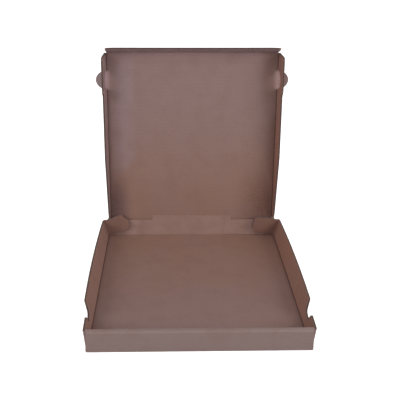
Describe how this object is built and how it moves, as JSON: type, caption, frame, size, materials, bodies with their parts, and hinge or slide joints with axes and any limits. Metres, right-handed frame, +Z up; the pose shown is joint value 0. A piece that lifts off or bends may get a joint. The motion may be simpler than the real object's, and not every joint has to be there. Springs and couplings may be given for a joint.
{
  "type": "pizza box",
  "caption": "Folded corrugated pizza box with a shallow tray, rolled front wall, notched side walls and a hinged lid with side flaps, rounded ears and a front tuck flap.",
  "frame": {"origin": "middle of the underside of the tray's floor, on the surface the box stands on", "axes": "+X to the right seen from the front, +Y from the front wall to the hinge at the back, +Z up. The lid is stored open, leaning back 12 degrees past upright."},
  "size_m": [0.353, 0.3977, 0.3597],
  "materials": {
    "tray_board": "matt brown kraft",
    "lid_board": "matt brown kraft"
  },
  "bodies": {
    "tray": {"tray": "tray_board"},
    "lid": {"lid": "lid_board"}
  },
  "joints": [
    {"name": "lid_hinge", "type": "hinge", "parent": "tray", "child": "lid", "pos_m": [0, 0.165, 0.0398], "axis": [1, 0, 0], "range_deg": [-84, 102]}
  ]
}
